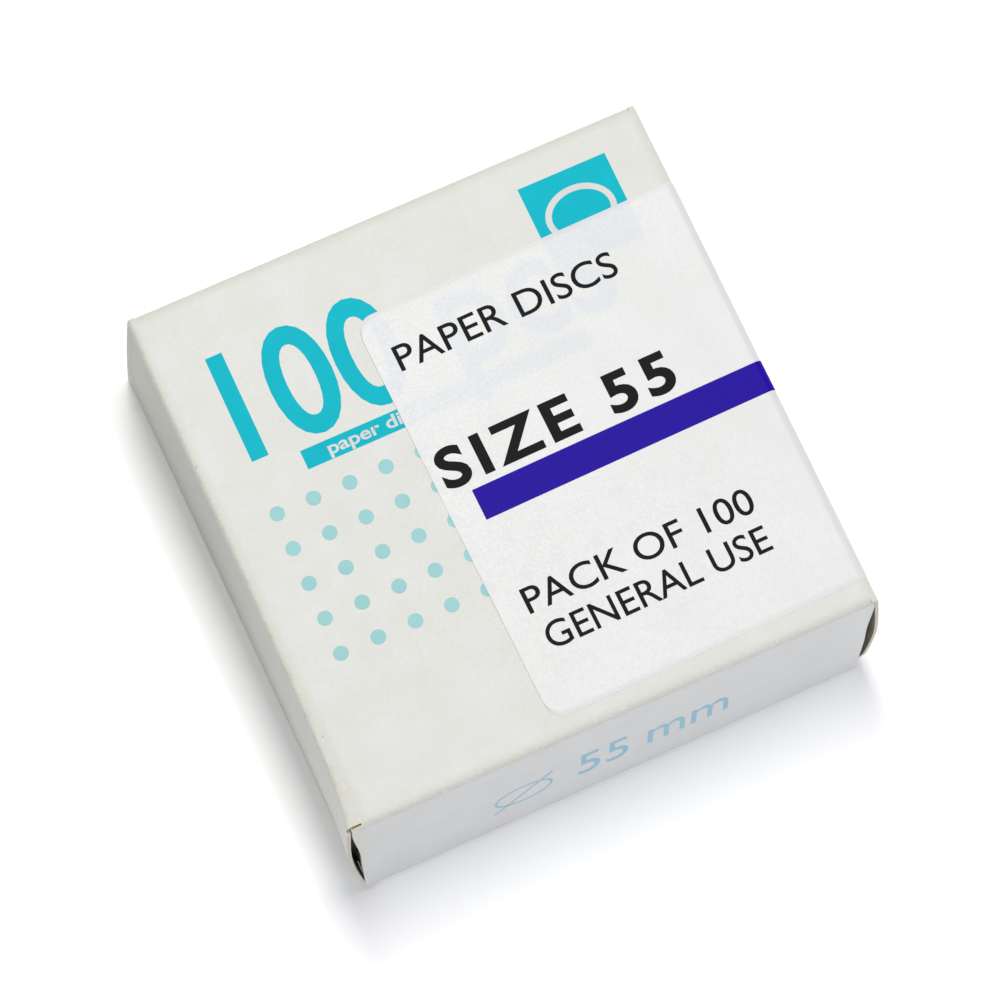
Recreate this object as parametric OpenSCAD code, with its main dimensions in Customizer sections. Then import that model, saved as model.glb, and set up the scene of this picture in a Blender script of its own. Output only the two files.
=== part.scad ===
// Straight tuck-end folding carton of creased paperboard, with a wrap-over label and a stack of round paper discs.
// +Z is up, +X runs along the front closure and +Y runs from front to back. The origin is the centre of the base.

/* [Carton] */
// Outside width, along X
box_w = 60; // [59:0.5:70]
// Outside length, along Y
box_l = 61; // [60:0.5:72]
// Outside height, without the label
box_h = 20.8; // [20.5:0.1:26]
// Thickness of the board
board_t = 0.4; // [0.3:0.05:0.45]
// Outside radius of every fold
fold_r = 0.8; // [0.7:0.05:1]

/* [End closures] */
// Space between a closure's side edge and the outside of the carton
closure_inset = 0.6; // [0.4:0.1:1.2]
// Radius of a closure's lower corners
closure_corner_r = 1.5; // [0.5:0.1:3]
// Length of a tuck flap from its crease to its tip
tuck_l = 9; // [6:0.5:9]
// Space between a tuck flap's side edge and the outside of the carton
tuck_inset = 1.6; // [1.2:0.1:3]
// Radius of a tuck flap's free corners
tuck_corner_r = 4; // [1:0.5:6]
// How far the closed tuck flap's tip springs up, in degrees
tuck_tilt = 6; // [6:0.5:8]
// Clearance between neighbouring flaps
flap_gap = 0.15; // [0.1:0.05:0.2]

/* [Dust flaps] */
// Length of a dust flap from its crease to its tip
dust_l = 14; // [10:1:15]
// Height of a dust flap at its tip
dust_tip_h = 9.2; // [6:0.2:9.4]

/* [Seam] */
// Height of the glued flap inside the left side panel
glue_h = 10; // [6:1:14]
// Length of the taper at each end of the glued flap
glue_taper = 3; // [1:0.5:5]

/* [Label] */
// Thickness of the label
label_t = 0.1; // [0.05:0.01:0.15]
// Left edge of the label, along X
label_x = -7.4; // [-15:0.2:5]
// Front edge of the label, along Y
label_front = -28; // [-29:0.2:-20]
// Back edge of the label, along Y
label_back = 20.6; // [10:0.2:28]
// Length of label folded down over the right side panel
label_drop = 12; // [4:1:18]
// Radius of the label's corners
label_corner_r = 2; // [0.5:0.1:4]

/* [Paper discs] */
// Diameter of a disc
disc_d = 55; // [40:1:55]
// Thickness of a disc
disc_t = 0.16; // [0.12:0.01:0.17]
// Height that each disc takes up in the stack, with the air between discs
disc_pitch = 0.17; // [0.17:0.005:0.18]
// Number of discs
disc_count = 100; // [10:10:100]
// Height of the lowest disc above the base
disc_z = 2; // [2:0.05:2.4]
// Furthest that a disc lies off the middle of the stack
disc_scatter = 0.25; // [0:0.05:0.4]

/* [Hidden] */
$fn = 96;

board_white = [0.88, 0.88, 0.85];
board_worn = [0.84, 0.82, 0.76];
board_grey = [0.62, 0.58, 0.50];
label_white = [0.95, 0.95, 0.95];
paper_white = [0.97, 0.97, 0.95];

half_w = box_w / 2;
half_l = box_l / 2;
cut = 0.01;

// Outer faces of the dust flaps, which lie behind the closures
dust_face = half_l - board_t - flap_gap;
// Ends of the long folds and of the side panels' flat walls
fold_end = dust_face - fold_r;
// Raw front and back edges of the bottom panel
bottom_end = half_l - 0.3;
// Raw lower edge of the left side panel, which covers the seam
seam_edge_z = 0.3;

// A dust flap at its crease: lowest and highest points
dust_z0 = 1.6;
dust_z1 = box_h - 1.6;
// Height of the dust flap's lower corner at its tip, and how its top corner is cut away next to the crease
dust_tip_z = 3.4;
dust_shoulder_l = 3;
dust_shoulder_drop = 2;

// Underside of the closed closure and its tuck flap's crease
closure_z = board_t + flap_gap;
// The fold between closure and tuck flap turns a little more than a right angle, and half belongs to each
tuck_fold_angle = 90 + tuck_tilt;

discs_per_node = disc_count / 10;

// Fold profile: a board strip turned from angle a0 to a1 about the origin, with its outside at fold_r
module fold_arc(a0, a1) {
    reach = 3 * fold_r;
    intersection() {
        difference() {
            circle(r = fold_r);
            circle(r = fold_r - board_t);
        }
        polygon([[0, 0], reach * [cos(a0), sin(a0)],
                 reach * [cos((a0 + a1) / 2), sin((a0 + a1) / 2)], reach * [cos(a1), sin(a1)]]);
    }
}

// Extrude a profile drawn in Y and Z along X, between -half_x and half_x
module along_x(half_x) {
    translate([-half_x, 0, 0])
        rotate([90, 0, 90])
            linear_extrude(2 * half_x)
                children();
}

// Extrude a profile drawn in X and Z along Y, between -half_y and half_y
module along_y(half_y) {
    translate([0, half_y, 0])
        rotate([90, 0, 0])
            linear_extrude(2 * half_y)
                children();
}

// Rectangle between two corners
module rect(x0, y0, x1, y1) {
    translate([x0, y0])
        square([x1 - x0, y1 - y0]);
}

// Rectangle centred on X, from y0 up to y1, with its two corners at y0 rounded
module rounded_foot(half_x, y0, y1, r) {
    rect(-half_x, y0 + r, half_x, y1);
    rect(-half_x + r, y0, half_x - r, y0 + r + cut);
    for (side = [-1, 1])
        translate([side * (half_x - r), y0 + r])
            circle(r = r);
}

// ---- Sleeve ----

// Flat top panel, with half of each end crease as a lip along its front and back
module top_panel() {
    color(board_white)
        union() {
            translate([-half_w + fold_r, -fold_end, box_h - board_t])
                cube([box_w - 2 * fold_r, 2 * fold_end, board_t]);
            for (end = [0, 1])
                mirror([0, end, 0])
                    along_x(half_w - closure_inset) {
                        rect(-half_l + fold_r, box_h - board_t, -fold_end + cut, box_h);
                        translate([-half_l + fold_r, box_h - fold_r])
                            fold_arc(90, 135);
                    }
        }
}

module bottom_panel() {
    color(board_white)
        translate([-half_w + board_t + fold_r, -bottom_end, 0])
            cube([box_w - board_t - 2 * fold_r, 2 * bottom_end, board_t]);
}

// Half of the upright crease between a side panel and a dust flap, on the left side at the front
module dust_crease_half(a0, a1) {
    translate([0, 0, dust_z0])
        linear_extrude(dust_z1 - dust_z0)
            translate([-half_w + fold_r, -fold_end])
                fold_arc(a0, a1);
}

// Upright wall on the left, from z0 to the top fold, with the side's half of both dust flap creases
module side_wall(z0) {
    translate([-half_w, -fold_end, z0])
        cube([board_t, 2 * fold_end, box_h - fold_r - z0]);
    for (end = [0, 1])
        mirror([0, end, 0])
            dust_crease_half(180, 225);
}

// The left panel is the outer layer of the glued seam, so its lower edge is a raw edge
module left_side_panel() {
    color(board_white)
        union()
            side_wall(seam_edge_z);
}

module right_side_panel() {
    color(board_white)
        mirror([1, 0, 0])
            union()
                side_wall(fold_r);
}

// Glued flap inside the left side panel, tapered at both ends
module glue_flap() {
    color(board_grey)
        translate([-half_w + board_t, 0, 0])
            rotate([90, 0, 90])
                linear_extrude(board_t)
                    polygon([[-fold_end + 1, fold_r], [fold_end - 1, fold_r],
                             [fold_end - 1 - glue_taper, fold_r + glue_h], [-fold_end + 1 + glue_taper, fold_r + glue_h]]);
}

// One long fold of the sleeve, with the fold's centre at x, z
module long_fold(x, z, a0) {
    color(board_worn)
        along_y(fold_end)
            translate([x, z])
                fold_arc(a0, a0 + 90);
}

module fold_top_left() {
    long_fold(-half_w + fold_r, box_h - fold_r, 90);
}

module fold_top_right() {
    long_fold(half_w - fold_r, box_h - fold_r, 0);
}

// This fold joins the bottom panel to the glued flap, so it lies inside the left side panel
module fold_bottom_left() {
    long_fold(-half_w + board_t + fold_r, fold_r, 180);
}

module fold_bottom_right() {
    long_fold(half_w - fold_r, fold_r, 270);
}

// ---- Ends, drawn at the front and mirrored to the rear ----

// Closure: the outer half of the top crease, the flat face and half of the tuck crease
module closure() {
    color(board_white)
        intersection() {
            along_x(half_w - closure_inset) {
                translate([-half_l + fold_r, box_h - fold_r])
                    fold_arc(135, 180);
                rect(-half_l, closure_z + fold_r, -half_l + board_t, box_h - fold_r);
                translate([-half_l + fold_r, closure_z + fold_r])
                    fold_arc(180, 180 + tuck_fold_angle / 2);
            }
            translate([0, -half_l + 2 * fold_r, 0])
                rotate([90, 0, 0])
                    linear_extrude(4 * fold_r)
                        rounded_foot(half_w - closure_inset, closure_z, box_h, closure_corner_r);
        }
}

// Tuck flap: its half of the crease and a flat flap that rises towards its tip
module tuck_flap() {
    color(board_white)
        intersection() {
            along_x(half_w - tuck_inset)
                translate([-half_l + fold_r, closure_z + fold_r]) {
                    fold_arc(180 + tuck_fold_angle / 2, 180 + tuck_fold_angle);
                    rotate(tuck_tilt)
                        rect(0, -fold_r, tuck_l, -fold_r + board_t);
                }
            mirror([0, 1, 0])
                linear_extrude(box_h)
                    rounded_foot(half_w - tuck_inset, half_l - fold_r - tuck_l * cos(tuck_tilt), half_l, tuck_corner_r);
        }
}

// Left dust flap: its half of the crease and a flat flap tapered towards its tip
module dust_flap() {
    color(board_white)
        union() {
            dust_crease_half(225, 270);
            translate([-half_w + fold_r, -dust_face + board_t, 0])
                rotate([90, 0, 0])
                    linear_extrude(board_t)
                        polygon([[0, dust_z0], [dust_l - fold_r, dust_tip_z],
                                 [dust_l - fold_r, dust_tip_z + dust_tip_h],
                                 [dust_shoulder_l, dust_z1 - dust_shoulder_drop], [0, dust_z1]]);
        }
}

module front_closure() {
    closure();
}

module front_tuck_flap() {
    tuck_flap();
}

module front_dust_flap_left() {
    dust_flap();
}

module front_dust_flap_right() {
    mirror([1, 0, 0])
        dust_flap();
}

module rear_closure() {
    mirror([0, 1, 0])
        closure();
}

module rear_tuck_flap() {
    mirror([0, 1, 0])
        tuck_flap();
}

module rear_dust_flap_left() {
    mirror([0, 1, 0])
        dust_flap();
}

module rear_dust_flap_right() {
    mirror([1, 0, 0])
        mirror([0, 1, 0])
            dust_flap();
}

// ---- Label: on the top panel, round the top right fold and down the right side panel ----

// Rounded rectangle between two corners
module rounded_rect(x0, y0, x1, y1, r) {
    rect(x0 + r, y0, x1 - r, y1);
    rect(x0, y0 + r, x1, y1 - r);
    for (x = [x0 + r, x1 - r], y = [y0 + r, y1 - r])
        translate([x, y])
            circle(r = r);
}

module label() {
    outer_r = fold_r + label_t;
    fold_x = half_w - fold_r;
    fold_z = box_h - fold_r;
    color(label_white)
        union() {
            // Flat stretch on the top panel
            translate([0, 0, box_h])
                linear_extrude(label_t)
                    intersection() {
                        rounded_rect(label_x, label_front, half_w + label_corner_r, label_back, label_corner_r);
                        rect(label_x, label_front, fold_x, label_back);
                    }
            // Round the fold
            translate([0, label_back, 0])
                rotate([90, 0, 0])
                    linear_extrude(label_back - label_front)
                        translate([fold_x, fold_z])
                            intersection() {
                                difference() {
                                    circle(r = outer_r);
                                    circle(r = fold_r);
                                }
                                square(2 * outer_r);
                            }
            // Down the side
            translate([half_w, 0, 0])
                rotate([90, 0, 90])
                    linear_extrude(label_t)
                        intersection() {
                            rounded_rect(label_front, fold_z - label_drop, label_back, box_h, label_corner_r);
                            rect(label_front, fold_z - label_drop, label_back, fold_z);
                        }
        }
}

// ---- Paper discs: a loose stack, each disc a little off the middle ----

module disc_group(group) {
    color(paper_white)
        for (i = [0 : discs_per_node - 1]) {
            index = group * discs_per_node + i;
            angle = index * 137.5;
            off = disc_scatter * (0.35 + 0.65 * abs(sin(index * 61)));
            translate([off * cos(angle), off * sin(angle), disc_z + index * disc_pitch])
                cylinder(d = disc_d, h = disc_t);
        }
}

top_panel();
bottom_panel();
left_side_panel();
right_side_panel();
glue_flap();
fold_top_left();
fold_top_right();
fold_bottom_left();
fold_bottom_right();
front_closure();
front_tuck_flap();
front_dust_flap_left();
front_dust_flap_right();
rear_closure();
rear_tuck_flap();
rear_dust_flap_left();
rear_dust_flap_right();
label();
disc_group(0);  // discs_01
disc_group(1);  // discs_02
disc_group(2);  // discs_03
disc_group(3);  // discs_04
disc_group(4);  // discs_05
disc_group(5);  // discs_06
disc_group(6);  // discs_07
disc_group(7);  // discs_08
disc_group(8);  // discs_09
disc_group(9);  // discs_10
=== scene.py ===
"""Looks for a tuck-end folding carton: creased board panels, a wrap-over label, print and paper discs."""

import math

import bmesh
import bpy
import numpy as np
from mathutils import Matrix, Vector
from mathutils.bvhtree import BVHTree


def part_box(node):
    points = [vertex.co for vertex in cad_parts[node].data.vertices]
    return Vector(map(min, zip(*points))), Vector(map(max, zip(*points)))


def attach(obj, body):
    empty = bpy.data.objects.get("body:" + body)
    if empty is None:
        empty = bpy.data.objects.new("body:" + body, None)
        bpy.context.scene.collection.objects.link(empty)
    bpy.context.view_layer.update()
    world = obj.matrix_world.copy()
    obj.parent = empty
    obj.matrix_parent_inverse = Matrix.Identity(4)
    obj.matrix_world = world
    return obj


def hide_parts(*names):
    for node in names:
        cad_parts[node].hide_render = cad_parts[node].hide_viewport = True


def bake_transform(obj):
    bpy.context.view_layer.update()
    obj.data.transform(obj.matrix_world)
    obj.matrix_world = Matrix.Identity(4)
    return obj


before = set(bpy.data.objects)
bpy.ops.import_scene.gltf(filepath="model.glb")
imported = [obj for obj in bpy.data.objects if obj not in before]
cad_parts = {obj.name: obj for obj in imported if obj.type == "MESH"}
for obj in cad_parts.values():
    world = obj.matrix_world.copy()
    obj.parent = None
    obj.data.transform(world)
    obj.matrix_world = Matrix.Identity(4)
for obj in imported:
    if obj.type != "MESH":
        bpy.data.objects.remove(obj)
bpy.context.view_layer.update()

MM = 0.001
ENDS = {"front": 1, "rear": -1}
SIDES = {"left": 1, "right": -1}

# ---- Sizes, in millimetres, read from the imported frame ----


def node_box(node):
    """Lowest and highest corner of a CAD node, in millimetres."""
    low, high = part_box(node)
    return [v / MM for v in low], [v / MM for v in high]


HALF_W = -node_box("left_side_panel")[0][0]
HALF_L = -node_box("front_closure")[0][1]
TOP = node_box("top_panel")[1][2]
(BOTTOM_LEFT, _, _), (_, BOTTOM_END, BOARD) = node_box("bottom_panel")
FOLD_R = TOP - node_box("fold_top_left")[0][2]
FOLD_END = node_box("fold_top_left")[1][1]
CLOSURE_HALF = node_box("front_closure")[1][0]
CLOSURE_Z = node_box("front_tuck_flap")[0][2]
TUCK_HALF, TUCK_TIP_Y, _ = node_box("front_tuck_flap")[1]
(LABEL_LEFT, LABEL_FRONT, LABEL_LOW), (_, LABEL_BACK, LABEL_TOP) = node_box("label")
LABEL_T = LABEL_TOP - TOP
(_, _, DUST_LOW), (DUST_TIP, _, DUST_HIGH) = node_box("front_dust_flap_left")
_, GLUE_END, GLUE_TOP = node_box("glue_flap")[1]
SIDE_LOW = node_box("left_side_panel")[0][2]

# Flat stretches between the folds
FLAT_X = HALF_W - FOLD_R
FOLD_Z = TOP - FOLD_R
FLAT_Y = HALF_L - FOLD_R

# ---- Shapes that the worn board takes ----

# How far each side bulges near the ends, where the folded dust flaps push it out, and how quickly that fades
SIDE_BULGE = {"left": 0.68, "right": 0.38}
REAR_BULGE = {"left": 0.05, "right": 0.20}
BULGE_FADE = 11.0
MID_BULGE = 0.05
# How far the foot of each closure stands out past its top crease, as it does not sit home
END_LEAN = {"front": 1.61, "rear": 0.25}
# How much further than that it stands out at the left, and less far at the right
END_SKEW = {"front": 0.17, "rear": 0.0}
# Skew of the top's left fold: how far it flares outward at the front, drifts outward over its front half and
# sinks at the rear
FLARE = 1.32
FLARE_FADE = 6.5
DRIFT = 0.27
REAR_SINK = 0.33
REAR_FADE = 6.0
# How far the foot of each side is pinched in at the front, and how far along and up that reaches
FOOT_PINCH = {"left": 0.0, "right": 1.5}
PINCH_FADE = 5.0
PINCH_HEIGHT = 11.0
# How far the closures bulge in the middle and sink at their unsupported side edges
CLOSURE_BULGE = 0.10
CLOSURE_DIP = 0.20
CLOSURE_DIP_FADE = 2.6
TOP_WAVE = 0.07
# How far from the middle the top and bottom begin to shift sideways with their skewed folds
FLAT_FROM = 14.0
# How far the sleeve's side walls run past their dust creases, as raw rims beside the closures
RIM_END = HALF_L - 0.12
# How far a front rim is cut back at its foot, below the lower height and fading out by the upper one
RIM_CUT = {"left": (0.9, 0.5, 3.0), "right": (0.5, 1.0, 4.5)}
# Outer radius of a dust crease, which turns inside the wall's raw rim
CREASE_IN = FOLD_R - BOARD + 0.02

# How far the folded dust flaps lean inward past a right angle
DUST_LEAN = math.radians(17)
# Half widths of the top creases; the front one stops short on the left, where a slit has torn open
CREASE_HALF = {
    ("front", "left"): 29.8,
    ("front", "right"): 29.5,
    ("rear", "left"): 29.0,
    ("rear", "right"): 29.4,
}
# Where the slit's two lips end: the sleeve's, as a distance from the middle, and the closure's, as an angle
LIP_END = 29.93
LIP_ANGLE = 124
# How far the closure's free corner curls away from the slit
SLIT_CURL = 0.10
# Half widths of the closures at their top, middle and foot
CLOSURE_SIDES = {
    ("front", "left"): (31.05, 30.20, 30.00),
    ("front", "right"): (29.60, 29.05, 28.35),
    ("rear", "left"): (29.20, 29.05, 29.10),
    ("rear", "right"): (29.40, 29.10, 29.20),
}
# Width of flat board that a crease strip takes in on each side
CREASE_LAP = 0.5
# How strongly painted shade darkens the board down in the deep slots beside the closures
SLOT_SHADE = {
    ("front", "left"): 0.96,
    ("front", "right"): 0.5,
    ("rear", "left"): 0.3,
    ("rear", "right"): 0.3,
}
# Outlines of the closures and flaps
CLOSURE_CORNER = 1.4
TUCK_TILT = math.radians(6)
TUCK_CORNER = 4.0
TUCK_BOW = 0.10
DUST_SHOULDER = 3.0
DUST_SHOULDER_DROP = 2.0
DUST_TIP_LOW = 3.4
# Height and length of the cut at the foot of a dust flap's root, which keeps it clear of a pinched side
DUST_RELIEF = {("front", "right"): 8.6}
DUST_RELIEF_LENGTH = 4.0
DUST_TIP_HIGH = 12.6
DUST_BOW = 0.25
# The seam's glued flap tapers at its ends
GLUE_TAPER = 3.0


def ramp01(x, low, high):
    """Smooth step from 0 at low to 1 at high."""
    t = np.clip((x - low) / (high - low), 0, 1)
    return t * t * (3 - 2 * t)


def top_height(x, y):
    """Outer height of the top panel: nearly flat, with long shallow waves that die out at the folds."""
    inside = ramp01(FLAT_X - np.abs(x), 0, 6) * ramp01(FLAT_Y - np.abs(y), 0, 6)
    wave = np.sin(x / 9.5 + 0.6) * np.cos(y / 12.0 - 0.4) + 0.6 * np.sin((x + 1.7 * y) / 14.0)
    return TOP + TOP_WAVE * inside * wave


def fold_skew(side, y):
    """How far the top's fold stands outward of its straight line."""
    if side == "right":
        return np.zeros_like(y)
    front = FLARE * np.exp(-(HALF_L + y) / FLARE_FADE) + DRIFT * ramp01(-y, -10, 20)
    return front - REAR_SINK * np.exp(-(HALF_L - y) / REAR_FADE)


def top_shift(x, y):
    """Sideways shift of the top panel that keeps it joined to its skewed folds."""
    return -fold_skew("left", y) * ramp01(-x, FLAT_FROM, FLAT_X)


def foot_pinch(side, y, z):
    """How far a side's foot is pinched in near the front."""
    return FOOT_PINCH[side] * np.exp(-(HALF_L + y) / PINCH_FADE) * np.clip(1 - z / PINCH_HEIGHT, 0, 1) ** 1.5


def side_out(side, y, z):
    """How far a side panel stands out of its flat plane."""
    across = np.sin(np.pi * np.clip((z - FOLD_R) / (FOLD_Z - FOLD_R), 0, 1))
    most = np.where(y < 0, SIDE_BULGE[side], REAR_BULGE[side])
    bulge = across * (most * np.exp(-(HALF_L - np.abs(y)) / BULGE_FADE) + MID_BULGE)
    return bulge + fold_skew(side, y) * np.clip(z / FOLD_Z, 0, 1) - foot_pinch(side, y, z)


def end_lean(end, x, z):
    """How far an end stands out past its top crease."""
    return (END_LEAN[end] - END_SKEW[end] * x / HALF_W) * np.clip((FOLD_Z - z) / (FOLD_Z - CLOSURE_Z), 0, 1)


def closure_out(end, x, z):
    """How far a closure stands out of the upright plane through its top crease."""
    middle = CLOSURE_BULGE * np.cos(0.5 * np.pi * np.clip(x / CLOSURE_HALF, -1, 1))
    edges = CLOSURE_DIP * np.exp(-np.maximum(CLOSURE_HALF - np.abs(x), 0) / CLOSURE_DIP_FADE)
    up = np.sin(np.pi * np.clip((z - CLOSURE_Z - FOLD_R) / (FOLD_Z - CLOSURE_Z - FOLD_R), 0, 1))
    return (middle - edges) * up + end_lean(end, x, z)


def fold_dents(along, count, seed):
    """Uneven depth along a worn fold: a slow waver and some small knocks."""
    random = np.random.default_rng(seed)
    depth = 0.012 * np.sin(along / 2.3 + seed) + 0.010 * np.sin(along / 0.9 + 2 * seed)
    for _ in range(count):
        place = random.uniform(-HALF_L, HALF_L)
        width = random.uniform(0.25, 0.8)
        knock = random.uniform(0.02, 0.09)
        depth = depth - knock * np.exp(-(((along - place) / width) ** 2))
    return depth


def edge_wear(points):
    """1 on the carton's outer edges, fading to 0 about a millimetre away from them."""
    x, y, z = (points[..., i] for i in range(3))
    to_side = HALF_W - np.abs(x)
    to_end = HALF_L - np.abs(y)
    to_level = np.minimum(np.abs(TOP - z), np.abs(z))
    distance = np.minimum(
        np.minimum(np.hypot(to_side, to_level), np.hypot(to_end, to_level)), np.hypot(to_side, to_end)
    )
    return 1 - ramp01(distance, 0.3, 1.5)


# ---- Mesh building ----


def add_object(name, data):
    made = bpy.data.objects.new(name, data)
    bpy.context.scene.collection.objects.link(made)
    return made


def mesh_of(name, points, faces):
    """Mesh from points in millimetres."""
    mesh = bpy.data.meshes.new(name)
    mesh.from_pydata((np.asarray(points) * MM).tolist(), [], faces)
    return mesh


def make_object(name, mesh, materials, body, replaced=()):
    """Link a mesh as a piece that rides on a body and stands for some CAD nodes."""
    piece = add_object(name, mesh)
    for material in materials:
        mesh.materials.append(material)
    if body:
        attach(piece, body)
    if replaced:
        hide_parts(*replaced)
    return piece


def smooth_by_angle(mesh, degrees=35):
    """Smooth shading that keeps cut edges sharp."""
    mesh.polygons.foreach_set("use_smooth", np.ones(len(mesh.polygons), bool))
    mesh.set_sharp_from_angle(angle=math.radians(degrees))


def grid_normals(points):
    """Unit normals of a grid of points, along the first direction crossed with the second."""
    du = np.gradient(points, axis=0)
    dv = np.gradient(points, axis=1)
    normals = np.cross(du, dv)
    return normals / np.maximum(np.linalg.norm(normals, axis=2, keepdims=True), 1e-12)


def sheet_parts(points, thickness):
    """Vertices and faces of a closed sheet, and each face's kind: 0 outer, 1 inner, 2 rim."""
    n, m = points.shape[:2]
    inner = points - grid_normals(points) * thickness
    vertices = np.concatenate([points.reshape(-1, 3), inner.reshape(-1, 3)])
    index = np.arange(n * m).reshape(n, m)
    quads = np.stack([index[:-1, :-1], index[1:, :-1], index[1:, 1:], index[:-1, 1:]], -1).reshape(-1, 4)
    around = np.concatenate([index[:, 0], index[-1, 1:], index[-2::-1, -1], index[0, -2:0:-1]])
    after = np.roll(around, -1)
    rim = np.stack([around, around + n * m, after + n * m, after], -1)
    faces = np.concatenate([quads, quads[:, ::-1] + n * m, rim])
    kinds = np.concatenate([np.zeros(len(quads), int), np.ones(len(quads), int), np.full(len(rim), 2)])
    return vertices, faces, kinds


def board_piece(
    name,
    grids,
    body,
    replaced=(),
    thickness=BOARD,
    mirror=(1, 1),
    materials=None,
    painted_shade=None,
):
    """A piece of board from one or more grids of outer points in millimetres, mirrored in X and Y if asked.

    The last argument, a function of the points, says how much painted shade darkens the board there, from 0
    to 1.
    """
    vertices, faces, kinds, count = [], [], [], 0
    for grid in grids:
        part_vertices, part_faces, part_kinds = sheet_parts(np.asarray(grid, float), thickness)
        vertices.append(part_vertices)
        faces.append(part_faces + count)
        kinds.append(part_kinds)
        count += len(part_vertices)
    vertices = np.concatenate(vertices) * [mirror[0], mirror[1], 1]
    faces = np.concatenate(faces)
    if mirror[0] * mirror[1] < 0:
        faces = faces[:, ::-1]
    mesh = mesh_of(name, vertices, faces.tolist())
    mesh.polygons.foreach_set("material_index", np.concatenate(kinds).astype(np.int32))
    wear = mesh.attributes.new("wear", "FLOAT", "POINT")
    wear.data.foreach_set("value", edge_wear(vertices).astype(np.float32))
    # Painted shade per point, which the board materials use to darken the deep slots beside the closures
    if painted_shade:
        shade_layer = mesh.attributes.new("painted_shade", "FLOAT", "POINT")
        shade_layer.data.foreach_set("value", painted_shade(vertices).astype(np.float32))
    smooth_by_angle(mesh)
    return make_object(name, mesh, materials or BOARD_MATERIALS, body, replaced)


def spread(low, high, step):
    """Evenly spaced values from low to high, at most step apart."""
    return np.linspace(low, high, max(2, int(math.ceil(abs(high - low) / step)) + 1))


def arc_values(start, end, count=10):
    """Angles in radians between two angles in degrees."""
    return np.radians(np.linspace(start, end, count + 1))


def grid_of(us, vs, place):
    """Grid of points place(u, v) for two lists of values."""
    u, v = np.meshgrid(us, vs, indexing="ij")
    return np.stack(np.broadcast_arrays(*place(u, v)), -1)


# ---- Materials ----


class Shader:
    """A node material with a Principled shader, built from short calls."""

    def __init__(self, name, **values):
        self.material = bpy.data.materials.new(name)
        self.material.use_nodes = True
        self.tree = self.material.node_tree
        self.bsdf = next(n for n in self.tree.nodes if n.type == "BSDF_PRINCIPLED")
        self.coordinates = self.tree.nodes.new("ShaderNodeTexCoord").outputs["Object"]
        for socket, value in values.items():
            self.bsdf.inputs[socket.replace("_", " ").title().replace("Ior", "IOR")].default_value = value

    def node(self, kind, inputs=(), **settings):
        """A node with its inputs set by name or number: a socket is linked and anything else is a value."""
        made = self.tree.nodes.new(kind)
        for key, value in settings.items():
            setattr(made, key, value)
        for key, value in dict(inputs).items():
            if isinstance(value, bpy.types.NodeSocket):
                self.tree.links.new(value, made.inputs[key])
            else:
                made.inputs[key].default_value = value
        return made

    def stretched(self, x, y, z):
        """Object coordinates stretched along the axes."""
        return self.node("ShaderNodeMapping", {"Vector": self.coordinates, "Scale": (x, y, z)}).outputs[0]

    def noise(self, size_mm, detail=3.0, roughness=0.5, vector=None):
        """Noise with features of about size_mm."""
        inputs = {"Vector": vector or self.coordinates, "Scale": 1 / (size_mm * MM)}
        inputs.update({"Detail": detail, "Roughness": roughness})
        return self.node("ShaderNodeTexNoise", inputs).outputs[0]

    def ramp(self, value, low, high, to_low=0.0, to_high=1.0):
        """value mapped from low..high to to_low..to_high, and held at the ends."""
        inputs = {"Value": value, "From Min": low, "From Max": high, "To Min": to_low, "To Max": to_high}
        return self.node("ShaderNodeMapRange", inputs, clamp=True).outputs[0]

    def times(self, a, b):
        return self.node("ShaderNodeMath", {0: a, 1: b}, operation="MULTIPLY").outputs[0]

    def plus(self, a, b):
        return self.node("ShaderNodeMath", {0: a, 1: b}, operation="ADD").outputs[0]

    def attribute(self, name):
        return self.node("ShaderNodeAttribute", attribute_name=name).outputs["Fac"]

    def mix(self, share, a, b):
        """Colour a with a share of colour b."""
        made = self.node("ShaderNodeMix", data_type="RGBA")
        for socket, value in ((made.inputs[0], share), (made.inputs[6], a), (made.inputs[7], b)):
            if isinstance(value, bpy.types.NodeSocket):
                self.tree.links.new(value, socket)
            else:
                socket.default_value = value
        return made.outputs[2]

    def colour(self, socket):
        self.tree.links.new(socket, self.bsdf.inputs["Base Color"])

    def roughness(self, socket):
        self.tree.links.new(socket, self.bsdf.inputs["Roughness"])

    def bump(self, *layers):
        """Bump from layers of (height socket, depth in millimetres), one on top of another."""
        normal = None
        for height, depth in layers:
            inputs = {"Height": height, "Distance": depth * MM, "Strength": 1.0}
            if normal:
                inputs["Normal"] = normal
            normal = self.node("ShaderNodeBump", inputs).outputs[0]
        self.tree.links.new(normal, self.bsdf.inputs["Normal"])


def rgb(r, g, b):
    return (r, g, b, 1.0)


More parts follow.
